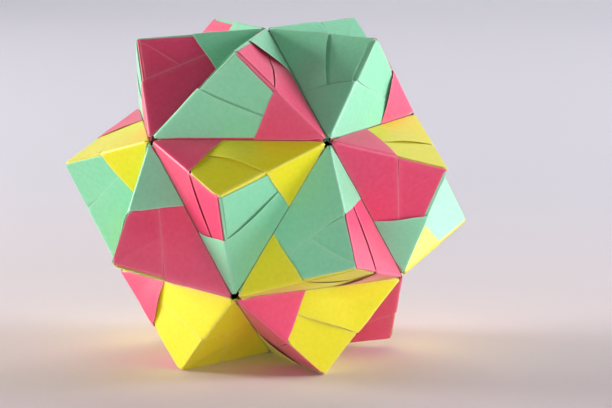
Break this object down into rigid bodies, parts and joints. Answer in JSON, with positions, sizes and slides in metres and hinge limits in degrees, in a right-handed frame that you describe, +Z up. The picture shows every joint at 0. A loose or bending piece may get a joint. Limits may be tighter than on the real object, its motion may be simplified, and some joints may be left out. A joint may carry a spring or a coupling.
{
  "type": "modular origami ball",
  "caption": "Star-shaped ball of square pyramid corners, folded from interlocking units of pink, yellow and mint green note paper, with a small hole where the points of the paper meet.",
  "frame": {"origin": "on the surface that the ball rests on, under the middle of its bounding box", "axes": "+Z up, with the ball at rest on its foot corner and two pyramid tips; -Y is the front, and the ball leans 2.6 degrees that way"},
  "size_m": [0.1, 0.1058, 0.088],
  "materials": {
    "green_paper": "matte",
    "pink_paper": "matte",
    "yellow_paper": "matte"
  },
  "bodies": {
    "root": {"green_crown_unit_1": "green_paper", "green_crown_unit_2": "green_paper", "green_crown_unit_3": "green_paper", "green_crown_unit_4": "green_paper", "green_crown_unit_5": "green_paper", "pink_upper_unit_1": "pink_paper", "pink_upper_unit_2": "pink_paper", "pink_upper_unit_3": "pink_paper", "pink_upper_unit_4": "pink_paper", "pink_upper_unit_5": "pink_paper", "green_belt_unit_1": "green_paper", "green_belt_unit_2": "green_paper", "green_belt_unit_3": "green_paper", "green_belt_unit_4": "green_paper", "green_belt_unit_5": "green_paper", "yellow_belt_unit_1": "yellow_paper", "yellow_belt_unit_2": "yellow_paper", "yellow_belt_unit_3": "yellow_paper", "yellow_belt_unit_4": "yellow_paper", "yellow_belt_unit_5": "yellow_paper", "pink_lower_unit_1": "pink_paper", "pink_lower_unit_2": "pink_paper", "pink_lower_unit_3": "pink_paper", "pink_lower_unit_4": "pink_paper", "pink_lower_unit_5": "pink_paper", "yellow_foot_unit_1": "yellow_paper", "yellow_foot_unit_2": "yellow_paper", "yellow_foot_unit_3": "yellow_paper", "yellow_foot_unit_4": "yellow_paper", "yellow_foot_unit_5": "yellow_paper"}
  },
  "joints": []
}
